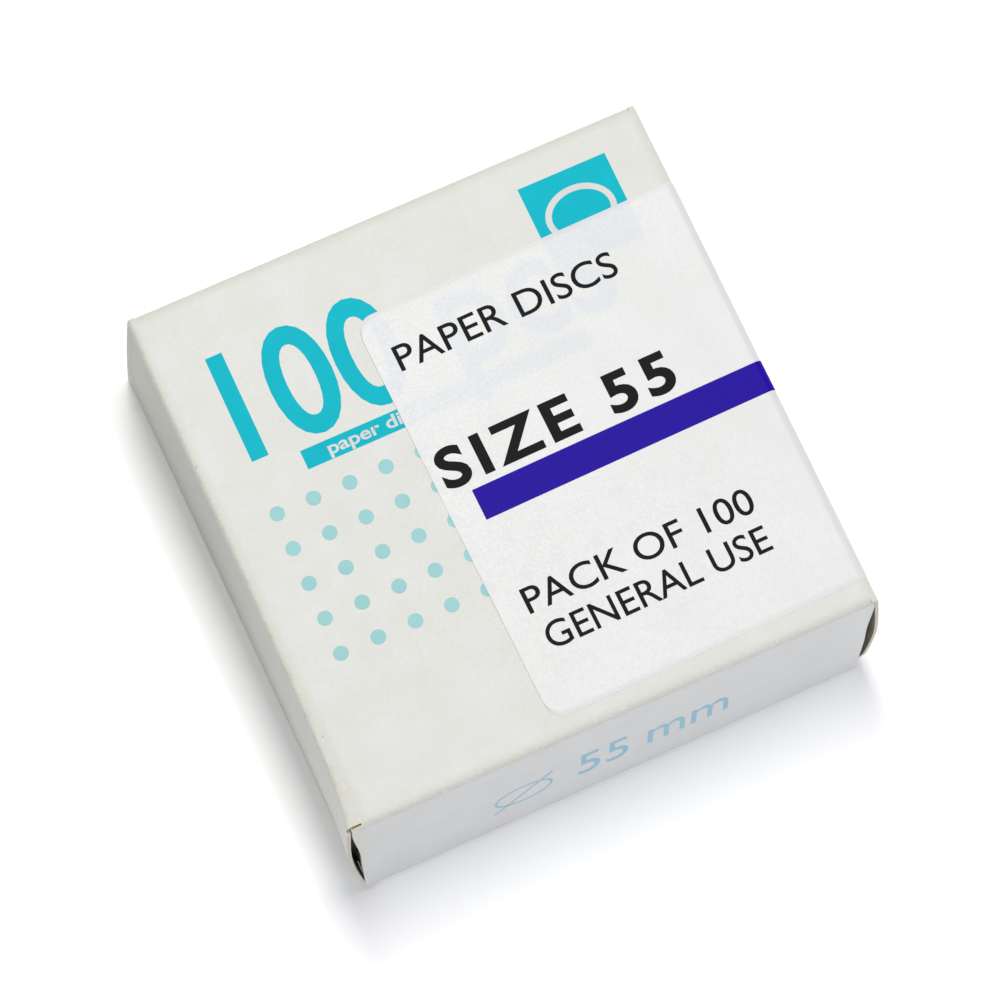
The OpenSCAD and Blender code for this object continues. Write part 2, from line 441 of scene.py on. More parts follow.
def coated_board(name, painted_shades=(0.0, 0.0)):
    """White clay-coated face of the board, with mottling, rare specks, and yellowed, nicked edges.

    Its second argument greys it with painted shade, by one amount at the front and another at the rear, for
    the shade that falls on the side walls.
    """
    s = Shader(name, specular_ior_level=0.35)
    wear = s.attribute("wear")
    mottle = s.noise(5.0, 4.0, 0.6)
    fine = s.noise(0.22, 2.0, 0.6)
    white = s.mix(s.ramp(mottle, 0.35, 0.7), rgb(0.735, 0.735, 0.690), rgb(0.765, 0.768, 0.730))
    smudge = s.ramp(s.noise(11.0, 3.0, 0.7), 0.56, 0.75, 0.0, 0.22)
    white = s.mix(smudge, white, rgb(0.66, 0.65, 0.59))
    # Painted shade: greys the board by the given amounts, from the front towards the rear
    along = s.node("ShaderNodeSeparateXYZ", {"Vector": s.coordinates}).outputs["Y"]
    white = s.mix(s.ramp(along, -HALF_L * MM, 0.3 * HALF_L * MM, *painted_shades), white, rgb(0.40, 0.40, 0.35))
    cells = s.node("ShaderNodeTexVoronoi", {"Vector": s.coordinates, "Scale": 1 / (4.5 * MM)})
    rare = s.ramp(s.noise(3.2, 1.0), 0.58, 0.66)
    speck = s.times(s.ramp(cells.outputs["Distance"], 0.018, 0.035, 1.0, 0.0), rare)
    white = s.mix(s.times(speck, 0.75), white, rgb(0.33, 0.30, 0.24))
    yellowed = s.times(s.ramp(wear, 0.15, 0.9), s.ramp(s.noise(1.6, 3.0), 0.3, 0.7, 0.25, 0.8))
    white = s.mix(yellowed, white, rgb(0.74, 0.73, 0.62))
    nick_field = s.noise(0.42, 3.0, 0.7)
    rubbed = s.times(s.ramp(nick_field, 0.60, 0.66), s.ramp(wear, 0.55, 0.95))
    white = s.mix(s.times(rubbed, 0.8), white, rgb(0.86, 0.85, 0.80))
    dark_field = s.noise(0.55, 2.0, 0.6, s.stretched(1.0, 0.6, 1.0))
    nick = s.times(s.ramp(dark_field, 0.70, 0.75), s.ramp(wear, 0.6, 0.95))
    white = s.mix(s.times(nick, 0.55), white, rgb(0.38, 0.35, 0.27))
    # Painted shade: near black where the coated board lies deep in the slots beside the closures
    s.colour(s.mix(s.attribute("painted_shade"), white, rgb(0.012, 0.011, 0.009)))
    s.roughness(s.plus(s.ramp(fine, 0.3, 0.7, 0.40, 0.50), s.times(wear, 0.15)))
    knocks = s.times(s.noise(0.7, 3.0, 0.6), wear)
    s.bump((mottle, 0.05), (fine, 0.006), (knocks, 0.12))
    return s.material


def board_inside():
    """Uncoated grey-brown back of the board, with fibres and flecks."""
    s = Shader("board_inside", specular_ior_level=0.2)
    fibres = s.noise(0.5, 4.0, 0.7, s.stretched(1.0, 0.25, 1.0))
    colour = s.mix(s.ramp(fibres, 0.3, 0.7), rgb(0.30, 0.275, 0.215), rgb(0.42, 0.39, 0.315))
    flecks = s.ramp(s.noise(0.28, 1.0), 0.68, 0.72)
    colour = s.mix(s.times(flecks, 0.6), colour, rgb(0.16, 0.15, 0.14))
    pale = s.ramp(s.noise(0.35, 2.0, 0.6, s.stretched(0.4, 1.0, 1.0)), 0.66, 0.72)
    colour = s.mix(s.times(pale, 0.5), colour, rgb(0.58, 0.55, 0.48))
    # Painted shade: near black where the back of the board lies deep in the slots beside the closures
    s.colour(s.mix(s.attribute("painted_shade"), colour, rgb(0.035, 0.03, 0.022)))
    s.roughness(s.ramp(fibres, 0.3, 0.7, 0.85, 0.95))
    s.bump((fibres, 0.03), (s.noise(0.18, 2.0), 0.012))
    return s.material


def board_edge(name, dark, light):
    """Cut edge of the board: layers with torn fibres."""
    s = Shader(name, specular_ior_level=0.15)
    layers = s.noise(0.16, 3.0, 0.7)
    s.colour(s.mix(s.ramp(layers, 0.3, 0.7), dark, light))
    s.roughness(s.ramp(layers, 0.3, 0.7, 0.85, 0.95))
    s.bump((layers, 0.03))
    return s.material


def label_paper():
    """White satin label paper, through which strong print below shows as a pale ghost."""
    s = Shader("label_paper", specular_ior_level=0.35)
    cloud = s.noise(8.0, 3.0, 0.5)
    fine = s.noise(0.3, 2.0, 0.5)
    white = s.mix(s.ramp(cloud, 0.3, 0.7), rgb(0.750, 0.753, 0.740), rgb(0.780, 0.783, 0.775))
    s.colour(s.mix(s.times(s.attribute("ghost"), 0.45), white, rgb(0.64, 0.69, 0.74)))
    s.roughness(s.ramp(fine, 0.3, 0.7, 0.33, 0.42))
    s.bump((cloud, 0.04), (s.noise(2.2, 2.0), 0.008), (fine, 0.002))
    return s.material


def ink(name, colour, strength=1.0):
    """Printed ink: even colour with slight mottling where the paper shows through."""
    s = Shader(name, specular_ior_level=0.06)
    grain = s.noise(0.18, 2.0, 0.6)
    patch = s.noise(2.5, 2.0, 0.5)
    paper = rgb(*(0.6 * c + 0.4 * 0.8 for c in colour))
    thin = s.times(s.ramp(grain, 0.45, 0.8), 0.02 + 0.02 * strength)
    deep = rgb(*(0.93 * c for c in colour))
    s.colour(s.mix(thin, s.mix(s.ramp(patch, 0.3, 0.7), rgb(*colour), deep), paper))
    s.roughness(s.ramp(grain, 0.3, 0.7, 0.44, 0.56))
    return s.material


def disc_paper():
    """Soft white filter paper with a faint crepe and loose fibres."""
    s = Shader("disc_paper", specular_ior_level=0.15)
    fibres = s.noise(0.35, 4.0, 0.7)
    cloud = s.noise(4.0, 3.0, 0.6)
    colour = s.mix(s.ramp(cloud, 0.3, 0.7), rgb(0.80, 0.795, 0.76), rgb(0.85, 0.845, 0.82))
    s.colour(s.mix(s.ramp(fibres, 0.55, 0.75, 0.0, 0.35), colour, rgb(0.72, 0.71, 0.67)))
    s.roughness(s.ramp(fibres, 0.3, 0.7, 0.88, 0.97))
    s.bump((fibres, 0.02), (s.noise(0.9, 2.0), 0.02))
    return s.material


COATED = coated_board("coated_board")
# Copy of the board for the side walls, with painted shade that darkens it towards the rear
COATED_SIDE_SHADED = coated_board("coated_board_side_painted_shade", (0.0, 0.56))
INSIDE = board_inside()
CUT_EDGE = board_edge("board_edge", rgb(0.58, 0.53, 0.40), rgb(0.78, 0.75, 0.66))
TORN_EDGE = board_edge("board_edge_torn", rgb(0.55, 0.40, 0.14), rgb(0.74, 0.60, 0.30))
BOARD_MATERIALS = [COATED, INSIDE, CUT_EDGE]
TORN_MATERIALS = [COATED, INSIDE, TORN_EDGE]
LABEL_PAPER = label_paper()
CYAN = ink("ink_cyan", (0.0, 0.53, 0.64))
PALE_CYAN = ink("ink_pale_cyan", (0.39, 0.71, 0.71), 0.6)
SOFT_CYAN = ink("ink_soft_cyan", (0.36, 0.63, 0.74), 0.6)
INDIGO = ink("ink_indigo", (0.018, 0.002, 0.37))
BLACK = ink("ink_black", (0.005, 0.005, 0.005))
WHITE = ink("ink_white", (0.78, 0.79, 0.77), 0.3)
DISC_PAPER = disc_paper()

# ---- Sleeve: panels ----

GRID = 0.6
COARSE_GRID = 1.5


def sleeve_panels():
    """Top, bottom and both sides, each from fold to fold."""

    def top(x, y):
        return x + top_shift(x, y), y, top_height(x, y)

    xs = spread(-FLAT_X, FLAT_X, GRID)
    ys = spread(-FLAT_Y + CREASE_LAP, FLAT_Y - CREASE_LAP, GRID)
    board_piece("top_panel_board", [grid_of(xs, ys, top)], "sleeve", ["top_panel"])

    def bottom(x, y):
        return x - foot_pinch("right", y, FOLD_R) * ramp01(x, FLAT_FROM, FLAT_X), y, 0 * x

    xs = spread(FLAT_X, BOTTOM_LEFT, COARSE_GRID)
    ys = spread(-BOTTOM_END, BOTTOM_END, COARSE_GRID)
    board_piece("bottom_panel_board", [grid_of(xs, ys, bottom)], "sleeve", ["bottom_panel"])

    for side, sign in SIDES.items():
        low = SIDE_LOW if side == "left" else FOLD_R
        zs = [spread(low, DUST_LOW, 0.3), spread(DUST_LOW, DUST_HIGH, GRID), spread(DUST_HIGH, FOLD_Z, 0.25)]
        zs = np.unique(np.concatenate(zs))

        def wall(y, z):
            near_end = np.abs(y / RIM_END) ** 5
            # The rims follow the leaning closures, but stop short behind their feet
            depth, full, gone = RIM_CUT[side]
            cut = depth * (1 - ramp01(z, full, gone))
            place = -sign * HALF_W
            lean = np.where(y < 0, cut - end_lean("front", place, z), end_lean("rear", place, z)) * near_end
            return -HALF_W - side_out(side, y, z), y + lean, z

        ys = spread(RIM_END, -RIM_END, 0.5)
        board_piece(
            f"{side}_side_board",
            [grid_of(ys, zs, wall)],
            "sleeve",
            [f"{side}_side_panel"],
            mirror=(sign, 1),
            materials=[COATED_SIDE_SHADED, INSIDE, CUT_EDGE],
        )


def glue_flap():
    """Glued flap inside the left side panel, tapered at both ends."""

    def place(share, z):
        y = share * (GLUE_END - GLUE_TAPER * (z - FOLD_R) / (GLUE_TOP - FOLD_R))
        return -HALF_W + BOARD - side_out("left", y, z), y, z

    grid = grid_of(spread(1, -1, 0.04), spread(FOLD_R, GLUE_TOP, 0.8), place)
    board_piece("glue_flap_board", [grid], "sleeve", ["glue_flap"])


def long_folds():
    """The four long folds of the sleeve, worn along the top."""
    # Node, centre of the fold, angles it turns through, number of knocks, and squareness
    rows = (
        ("fold_top_left", -FLAT_X, FOLD_Z, 180, 90, 16, 3.4),
        ("fold_top_right", FLAT_X, FOLD_Z, 90, 0, 8, 2.0),
        ("fold_bottom_left", BOTTOM_LEFT, FOLD_R, 270, 180, 0, 2.0),
        ("fold_bottom_right", FLAT_X, FOLD_R, 360, 270, 6, 2.0),
    )
    for seed, (node, x0, z0, start, end, knocks, power) in enumerate(rows):
        side = "left" if "left" in node else "right"
        upper = "top" in node
        front = {"fold_top_left": LIP_END, "fold_top_right": RIM_END}.get(node, BOTTOM_END)
        ys = spread(-front, RIM_END, 0.25)

        def place(angle, y):
            across, up = np.cos(angle), np.sin(angle)
            # A power above 2 makes the fold squarer than a circle
            square = (np.abs(across) ** power + np.abs(up) ** power) ** (-1 / power)
            radius = FOLD_R * square + fold_dents(y, knocks, seed + 3) * np.abs(np.sin(2 * angle))
            shift = np.sign(x0) * (fold_skew(side, y) if upper else -foot_pinch(side, y, FOLD_R))
            return x0 + shift + radius * across, y, z0 + radius * up

        grid = grid_of(arc_values(start, end, 12), ys, place)
        board_piece(f"{node}_board", [grid], "sleeve", [node])


# ---- Ends: built at the front and mirrored to the rear ----

# Shares across a closure, closer together near its side edges
SHARES = np.concatenate(
    [-1 + 0.08 * spread(0, 1, 0.125), spread(-0.9, 0.9, 0.03), 1 - 0.08 * spread(1, 0, 0.125)]
)
FACE_TOP = FOLD_Z - CREASE_LAP
# Centre of the tuck crease, the angle where it ends, and the tuck flap's direction and root
TUCK_FOLD_Z = CLOSURE_Z + FOLD_R
TUCK_TURN = math.pi * 1.5 + TUCK_TILT
TUCK_ALONG = np.array([math.cos(TUCK_TILT), math.sin(TUCK_TILT)])
TUCK_ROOT = np.array([-FLAT_Y + FOLD_R * math.cos(TUCK_TURN), TUCK_FOLD_Z + FOLD_R * math.sin(TUCK_TURN)])
# Angle that a dust crease turns through, and where its flap begins
DUST_TURN = 0.5 * math.pi + DUST_LEAN
DUST_ROOT = (-FLAT_X - CREASE_IN * math.cos(DUST_TURN), -FOLD_END - CREASE_IN * math.sin(DUST_TURN))


def rounded_half(half, radius, distance):
    """Half width of a panel at a distance from its free edge, where its two corners are rounded."""
    short = np.clip(radius - distance, 0, radius)
    return half - (radius - np.sqrt(np.maximum(radius**2 - short**2, 0)))


def closure_side(end, side, z):
    """Half width of a closure at a height: narrowest at its middle, with a rounded foot."""
    top, middle, foot = CLOSURE_SIDES[end, side]
    up = (z - CLOSURE_Z) / (FOLD_Z - CLOSURE_Z)
    lower = foot + (middle - foot) * ramp01(up, 0, 0.5)
    upper = middle + (top - middle) * ramp01(up, 0.5, 1)
    return rounded_half(np.where(up > 0.5, upper, lower), CLOSURE_CORNER, z - CLOSURE_Z)


def closure_x(end, share, z):
    """Place across a closure, where share runs from -1 at the left edge to 1 at the right."""
    return share * np.where(share < 0, closure_side(end, "left", z), closure_side(end, "right", z))


def crease_piece(name, grids, mirror, painted_shade=None):
    """A strip of board across a hinge, attached to no body, with its transform baked into the mesh."""
    piece = board_piece(name, grids, None, mirror=mirror, painted_shade=painted_shade)
    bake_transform(piece)


def rise_rows(last, count):
    """Places (y, z) up the top of a closure's face and round its top crease, to an angle in degrees."""
    rows = [(-HALF_L, z) for z in spread(FACE_TOP, FOLD_Z, 0.25)[:-1]]
    turn = arc_values(180, last, count)
    return rows + [(-FLAT_Y + FOLD_R * math.cos(a), FOLD_Z + FOLD_R * math.sin(a)) for a in turn]


def top_crease(end, mirror):
    """Top crease: up the closure, round the fold and a little way onto the top panel."""
    rows = rise_rows(90, 10) + [(y, TOP) for y in spread(-FLAT_Y, -FLAT_Y + CREASE_LAP, 0.25)[1:]]
    profile = np.array(rows)
    xs = spread(-CREASE_HALF[end, "left"], CREASE_HALF[end, "right"], 0.4)
    dent = fold_dents(xs, 6, 11) * 0.6

    def place(x, k):
        y, z = profile[k.astype(int), 0], profile[k.astype(int), 1]
        on_arc = np.clip((z - FOLD_Z) / FOLD_R, 0, 1) * np.clip((-FLAT_Y - y) / FOLD_R, 0, 1)
        depth = np.interp(x, xs, dent) * 2 * on_arc
        out = np.where(z < FOLD_Z, closure_out(end, x, z), 0)
        return x, y - out - depth * 0.7, z + depth * 0.7

    grid = grid_of(xs, np.arange(len(profile)), place)
    crease_piece(f"{end}_top_crease", [grid], mirror)


def slit_corner(mirror):
    """The front closure's free corner, below the slit at the left."""
    rows = np.array(rise_rows(LIP_ANGLE, 8))
    left = CREASE_HALF["front", "left"]
    reach = closure_side("front", "left", FOLD_Z)

    def place(x, k):
        y, z = rows[k.astype(int), 0], rows[k.astype(int), 1]
        curl = SLIT_CURL * ramp01(-x, left, reach) * ramp01(z, FOLD_Z, TOP)
        return x, y - np.where(z < FOLD_Z, closure_out("front", x, z), 0) - curl, z + curl

    grid = grid_of(spread(-reach, -left, 0.15), np.arange(len(rows)), place)
    board_piece(
        "slit_corner", [grid], "front_closure", mirror=mirror, materials=TORN_MATERIALS
    )


def slit_lip(mirror):
    """The lip of the top panel, behind the slit."""

    def place(share, y):
        x = -(FLAT_X + fold_skew("left", y)) * (1 - share) - CREASE_HALF["front", "left"] * share
        return x, y, np.full_like(y, TOP)

    grid = grid_of(spread(0, 1, 0.2), spread(-LIP_END, -FLAT_Y + CREASE_LAP, 0.2), place)
    board_piece("slit_lip", [grid], "sleeve", mirror=mirror, materials=TORN_MATERIALS)


def closure_face(end, mirror):
    """A closure's flat face, between its crease strips."""

    def place(share, z):
        x = closure_x(end, share, z)
        return x, -HALF_L - closure_out(end, x, z), z

    zs = spread(TUCK_FOLD_Z + CREASE_LAP, FACE_TOP, 0.5)
    node = f"{end}_closure"
    board_piece(f"{node}_board", [grid_of(SHARES, zs, place)], node, [node], mirror=mirror)


def tuck_crease(end, mirror):
    """Tuck crease: the fold on the closure's foot, and a run of board back to the tuck flap's hinge."""
    lean = end_lean(end, 0, CLOSURE_Z)
    foot = np.array([-FLAT_Y, TUCK_FOLD_Z]) - TUCK_ALONG * lean
    rows = [TUCK_ROOT + TUCK_ALONG * d for d in spread(CREASE_LAP, 0, 0.25)[:-1]]
    rows += [TUCK_ROOT - TUCK_ALONG * d for d in spread(0, lean, 0.2)[:-1]]
    turn = np.linspace(TUCK_TURN, math.pi, 13)
    rows += [foot + FOLD_R * np.array([math.cos(a), math.sin(a)]) for a in turn]
    # The strip's last rows lie on the face, and are marked by a y of 0
    rows += [np.array([0.0, z]) for z in spread(foot[1], TUCK_FOLD_Z + CREASE_LAP, 0.25)[1:]]
    rows = np.array(rows)

    def place(share, k):
        k = k.astype(int)
        y, z = rows[k, 0], rows[k, 1]
        x = closure_x(end, share, np.maximum(z, CLOSURE_Z))
        x = np.where(np.abs(x) < TUCK_HALF * np.abs(share), TUCK_HALF * share, x)
        skew = END_SKEW[end] * x / HALF_W * np.clip((TUCK_ROOT[0] - y) / lean, 0, 1)
        return x, np.where(y == 0, -HALF_L - closure_out(end, x, z), y + skew), z

    grid = grid_of(SHARES, np.arange(len(rows)), place)
    crease_piece(f"{end}_tuck_crease", [grid], mirror)


def tuck_flap(end, mirror):
    """A tuck flap, which rises a little as it runs inward under the top."""
    length = (TUCK_TIP_Y - TUCK_ROOT[0]) / TUCK_ALONG[0]

    def place(share, d):
        x = share * rounded_half(TUCK_HALF, TUCK_CORNER, length - d)
        bow = TUCK_BOW * np.sin(np.pi * d / length) * np.cos(0.5 * np.pi * share)
        return x, TUCK_ROOT[0] + TUCK_ALONG[0] * d, TUCK_ROOT[1] + TUCK_ALONG[1] * d + bow

    tip = spread(length, length - TUCK_CORNER, 0.2)[:-1]
    ds = np.concatenate([tip, spread(length - TUCK_CORNER, CREASE_LAP, GRID)])
    node = f"{end}_tuck_flap"
    board_piece(f"{node}_board", [grid_of(SHARES, ds, place)], node, [node], mirror=mirror)


def closures():
    """Both closures with their creases and tuck flaps, and the slit at the front left."""
    for end, way in ENDS.items():
        mirror = (1, way)
        top_crease(end, mirror)
        if end == "front":
            slit_corner(mirror)
        closure_face(end, mirror)
        if end == "front":
            slit_lip(mirror)
        tuck_crease(end, mirror)
        tuck_flap(end, mirror)


def slot_shade(end, side):
    """Function that says how much painted shade darkens the board at points beside a closure."""

    def painted_shade(points):
        return SLOT_SHADE[end, side] * (1 - ramp01(HALF_W - np.abs(points[:, 0]), 1.5, 4.0))

    return painted_shade


def dust_crease(end, side, mirror):
    """Upright crease of a dust flap: a little of the wall, the fold, and a little of the flap."""
    way = mirror[1]

    # Steps 0 to 1 run along the wall, 1 to 2 round the fold and 2 to 3 along the flap
    def place(step, z):
        angle = np.interp(step, [1, 2], [0, DUST_TURN])
        wall = np.clip(1 - step, 0, 1) * CREASE_LAP
        beyond = np.clip(step - 2, 0, 1) * CREASE_LAP
        x = -FLAT_X - CREASE_IN * np.cos(angle) + beyond * math.cos(DUST_LEAN)
        y = -FOLD_END + wall - CREASE_IN * np.sin(angle) + beyond * math.sin(DUST_LEAN)
        return x - side_out(side, y * way, z) * (1 - ramp01(step, 1, 2)), y, z

    node = f"{end}_dust_flap_{side}"
    steps = np.concatenate([spread(0, 1, 0.5)[:-1], spread(1, 2, 0.08)[:-1], spread(2, 3, 0.5)])
    zs = spread(DUST_LOW + DUST_RELIEF.get((end, side), 0.0), DUST_HIGH, GRID)
    grid = grid_of(steps, zs, place)
    # Painted shade darkens the crease where it lies deep in the slot beside the closure
    crease_piece(f"{node}_crease", [grid], mirror, slot_shade(end, side))


def dust_flap(end, side, mirror):
    """A dust flap, with a shoulder at the top and slanted edges down to its tip."""
    length = DUST_TIP + FLAT_X
    relief = DUST_RELIEF.get((end, side), 0.0)

    def place(d, share):
        low = DUST_LOW + (DUST_TIP_LOW - DUST_LOW) * d / length
        low = low + relief * np.clip(1 - (d - CREASE_LAP) / DUST_RELIEF_LENGTH, 0, 1)
        shoulder = DUST_HIGH - DUST_SHOULDER_DROP
        near = DUST_HIGH - DUST_SHOULDER_DROP * np.maximum(d - CREASE_LAP, 0) / (DUST_SHOULDER - CREASE_LAP)
        far = shoulder + (DUST_TIP_HIGH - shoulder) * (d - DUST_SHOULDER) / (length - DUST_SHOULDER)
        z = low + share * (np.where(d < DUST_SHOULDER, near, far) - low)
        bow = DUST_BOW * np.sin(np.pi * d / length) ** 2
        x = DUST_ROOT[0] + d * math.cos(DUST_LEAN) + bow * math.sin(DUST_LEAN)
        y = DUST_ROOT[1] + d * math.sin(DUST_LEAN) - bow * math.cos(DUST_LEAN)
        return x, y, z

    node = f"{end}_dust_flap_{side}"
    ds = np.concatenate([spread(CREASE_LAP, DUST_SHOULDER, 0.4)[:-1], spread(DUST_SHOULDER, length, 0.7)])
    grid = grid_of(ds, spread(0, 1, 0.05), place)
    # Painted shade darkens the flap where it lies deep in the slot beside the closure
    board_piece(
        f"{node}_board", [grid], node, [node], mirror=mirror, painted_shade=slot_shade(end, side)
    )


def dust_flaps():
    """Dust flaps and their upright creases."""
    for end, way in ENDS.items():
        for side, sign in SIDES.items():
            dust_crease(end, side, (sign, way))
            dust_flap(end, side, (sign, way))


sleeve_panels()
glue_flap()
long_folds()
closures()
dust_flaps()

# ---- Surfaces that print and the label lie on ----

ARC = 0.5 * math.pi * FOLD_R
# The label lies turned a little on the carton, about this point of the top panel
LABEL_TURN = 0.016
LABEL_PIVOT = (11.0, -4.0)
LABEL_END = FLAT_X + ARC + FOLD_Z - LABEL_LOW
LABEL_CORNER = 2.0
# How far the label's front and back edges are pressed down
LABEL_PRESSED = 0.065


def sleeve_surface(s, y, lift):
    """Point at distance s from the middle over the top, round the right fold and down the side."""
    flat = s <= FLAT_X
    angle = np.clip((s - FLAT_X) / FOLD_R, 0, 0.5 * math.pi)
    down = np.maximum(s - FLAT_X - ARC, 0)
    radius = FOLD_R + lift
    x = np.where(flat, s + top_shift(s, y), FLAT_X + radius * np.sin(angle))
    z = np.where(flat, top_height(s, y) + lift, FOLD_Z + radius * np.cos(angle) - down)
    x = x + np.where(down > 0, side_out("right", y, FOLD_Z - down), 0)
    return x, y, z


def label_turned(a, b):
    """Place on the sleeve of a point at the label's own coordinates, which are turned a little."""
    return a - LABEL_TURN * (b - LABEL_PIVOT[1]), b + LABEL_TURN * (a - LABEL_PIVOT[0])


def label_surface(a, b, lift):
    """Point on the label at its own coordinates."""
    s, y = label_turned(a, b)
    buckle = 0.012 * np.sin(s / 2.1 + 0.5 * y) * np.sin(y / 3.3 - 0.7)
    return sleeve_surface(s, y, LABEL_T + lift + buckle)


def closure_surface(x, z, lift):
    """Point on the front closure's outer face."""
    return x, -HALF_L - closure_out("front", x, z) - lift, z


# ---- Print ----

INK = 0.012
INK_GAP = 0.004
GHOST_BLUR = 0.16


def text_mesh(text, bold=0.0, space=1.0):
    """Points and faces of a line of text in the built-in font, at the font's own size."""
    curve = bpy.data.curves.new("text", "FONT")
    curve.body = text
    curve.offset = bold
    curve.resolution_u = 6
    curve.space_character = space
    holder = add_object("text", curve)
    bpy.context.view_layer.update()
    mesh = holder.to_mesh()
    points = np.array([v.co[:2] for v in mesh.vertices], float)
    faces = [list(p.vertices) for p in mesh.polygons]
    holder.to_mesh_clear()
    bpy.data.objects.remove(holder)
    return points, faces


CAP_HEIGHT = np.ptp(text_mesh("H")[0][:, 1])


def text_shape(text, left, right, base, height, bold=0.0, space=1.0):
    """Flat shape of a line of text that fills left to right, with its capitals height above base."""
    points, faces = text_mesh(text, bold, space)
    low, high = points[:, 0].min(), points[:, 0].max()
    x = left + (points[:, 0] - low) / (high - low) * (right - left)
    y = base + (points[:, 1] + bold) * height / (CAP_HEIGHT + 2 * bold)
    return np.stack([x, y], 1), faces


def ring_shape(cx, cy, rx, ry, width):
    """Flat ring."""
    angles = np.linspace(0, 2 * math.pi, 73)
    outer = np.stack([cx + rx * np.cos(angles), cy + ry * np.sin(angles)], 1)
    inner = np.stack([cx + (rx - width) * np.cos(angles), cy + (ry - width) * np.sin(angles)], 1)
    n = len(angles)
    faces = [[i, i + 1, n + i + 1, n + i] for i in range(n - 1)]
    return np.concatenate([outer, inner]), [face[::-1] for face in faces]


def bar_shape(x0, y0, x1, y1):
    return np.array([(x0, y0), (x1, y0), (x1, y1), (x0, y1)], float), [[0, 1, 2, 3]]


def line_shape(x0, y0, x1, y1, width):
    """Straight stroke between two points."""
    along = np.array([x1 - x0, y1 - y0])
    across = np.array([-along[1], along[0]]) / np.linalg.norm(along) * width / 2
    a, b = np.array([x0, y0]), np.array([x1, y1])
    return np.array([a - across, b - across, b + across, a + across]), [[0, 1, 2, 3]]


def disc_shape(cx, cy, radius, count=40):
    angles = np.linspace(0, 2 * math.pi, count, endpoint=False)
    rim = np.stack([cx + radius * np.cos(angles), cy + radius * np.sin(angles)], 1)
    return rim, [list(range(count))]


def joined(shapes):
    """Several flat shapes as one."""
    points, faces, count = [], [], 0
    for part_points, part_faces in shapes:
        points.append(part_points)
        faces += [[i + count for i in face] for face in part_faces]
        count += len(part_points)
    return np.concatenate(points), faces


def print_piece(name, shape, surface, material, body, step=1.5, bends=()):
    """Ink laid on a surface: the flat shape is cut into small facets, draped, and given a thin closed body.

    bends lists more places to cut across x, where the surface turns sharply.
    """
    points, faces = shape
    bm = bmesh.new()
    corners = [bm.verts.new((p[0], p[1], 0)) for p in points]
    for face in faces:
        bm.faces.new([corners[i] for i in face])
    bmesh.ops.remove_doubles(bm, verts=bm.verts, dist=1e-5)
    low, high = points.min(0), points.max(0)
    for axis in (0, 1):
        normal = (1, 0, 0) if axis == 0 else (0, 1, 0)
        places = list(np.arange(low[axis] + step, high[axis], step))
        for place in places + list(bends) * (axis == 0):
            everything = bm.verts[:] + bm.edges[:] + bm.faces[:]
            where = (place, 0, 0) if axis == 0 else (0, place, 0)
            bmesh.ops.bisect_plane(bm, geom=everything, dist=1e-6, plane_co=where, plane_no=normal)
    bmesh.ops.triangulate(bm, faces=bm.faces[:])
    bm.verts.index_update()
    bm.normal_update()
    flat = np.array([v.co[:2] for v in bm.verts], float)
    faces = [[v.index for v in (f.verts if f.normal.z > 0 else reversed(f.verts))] for f in bm.faces]
    bm.free()
    n = len(flat)
    top = np.stack(np.broadcast_arrays(*surface(flat[:, 0], flat[:, 1], INK_GAP + INK)), -1)
    base = np.stack(np.broadcast_arrays(*surface(flat[:, 0], flat[:, 1], INK_GAP)), -1)
    edges = {(face[i], face[(i + 1) % len(face)]) for face in faces for i in range(len(face))}
    walls = [[a + n, b + n, b, a] for a, b in sorted(edges) if (b, a) not in edges]
    solid = faces + [[i + n for i in face[::-1]] for face in faces] + walls
    mesh = mesh_of(name, np.concatenate([top, base]), solid)
    smooth_by_angle(mesh)
    return make_object(name, mesh, [material], body)


def top_print():
    """Print on the top panel, and what of it shows through the label, as (shape, strength) pairs."""
    title = text_shape("100 pcs", -24.0, 19.6, 10.6, 12.4, bold=0.015)
    strip = bar_shape(-18.9, 7.4, 14.5, 9.6)
    strip_text = text_shape("paper discs", -16.1, -4.4, 7.9, 1.45, bold=0.02)
    places = [(-23.9 + 4.2 * column, 4.3 - 4.17 * row) for column in range(11) for row in range(5)]
    dots = joined([disc_shape(x, y, 0.825) for x, y in places])
    icon = bar_shape(14.4, 16.4, 24.7, 26.7)
    ring = ring_shape(19.6, 21.6, 4.0, 3.2, 0.7)

    def above(x, y, lift):
        return sleeve_surface(x, y, lift + INK + INK_GAP)

    for name, shape, surface, material in (
        ("title", title, sleeve_surface, CYAN),
        ("strip", strip, sleeve_surface, CYAN),
        ("dots", dots, sleeve_surface, PALE_CYAN),
        ("icon", icon, sleeve_surface, CYAN),
        ("strip_text", strip_text, above, WHITE),
        ("icon_ring", ring, above, WHITE),
    ):
        print_piece(f"print_{name}", shape, surface, material, "sleeve")
    return [(title, 1.0), (strip, 0.9), (dots, 0.45), (icon, 1.0)]


def ghost_of(prints, s, y):
    """How strongly the print below shows through the label at each point, softened over GHOST_BLUR."""
    total = np.zeros(s.shape)
    around = np.arange(6) * math.pi / 3
    spots = [(0.0, 0.0)] + [(GHOST_BLUR * math.cos(a), GHOST_BLUR * math.sin(a)) for a in around]
    for (points, faces), strength in prints:
        tree = BVHTree.FromPolygons([(p[0], p[1], 0.0) for p in points], faces)
        low, high = points.min(0) - 0.2, points.max(0) + 0.2
        near = np.argwhere((s > low[0]) & (s < high[0]) & (y > low[1]) & (y < high[1]))
        for i, j in near:
            hits = sum(
                tree.ray_cast(Vector((s[i, j] + dx, y[i, j] + dy, 1.0)), Vector((0, 0, -1)))[0] is not None
                for dx, dy in spots
            )
            total[i, j] = max(total[i, j], strength * hits / len(spots))
    return total


